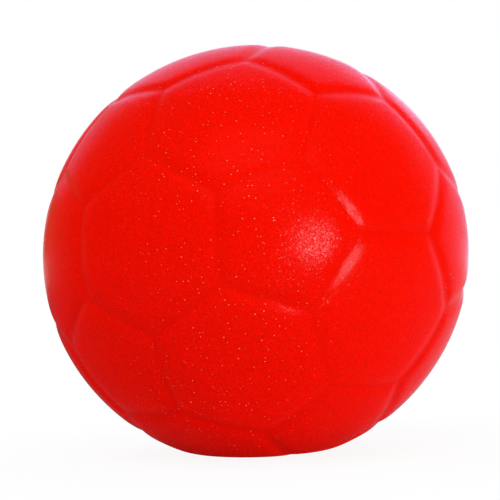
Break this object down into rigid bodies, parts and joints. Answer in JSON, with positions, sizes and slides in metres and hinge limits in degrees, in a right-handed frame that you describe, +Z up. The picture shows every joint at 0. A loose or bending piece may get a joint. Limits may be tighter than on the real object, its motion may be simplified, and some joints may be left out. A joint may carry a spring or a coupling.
{
  "type": "foam soccer ball",
  "caption": "Soft foam ball with moulded pentagon and hexagon panels in a tough coated skin, settled on a small flat, for kicking and throwing indoors.",
  "frame": {"origin": "middle of the flat that the ball rests on, under the ball's centre", "axes": "+Z up through the ball's centre, -Y towards the side that the picture shows, +X to the right in the picture"},
  "size_m": [0.2, 0.1992, 0.1916],
  "materials": {
    "skin": "satin polyurethane coat with a fine moulded grain",
    "foam": "matt flexible polyurethane foam"
  },
  "bodies": {
    "root": {"skin": "skin", "foam_core": "foam"}
  },
  "joints": []
}
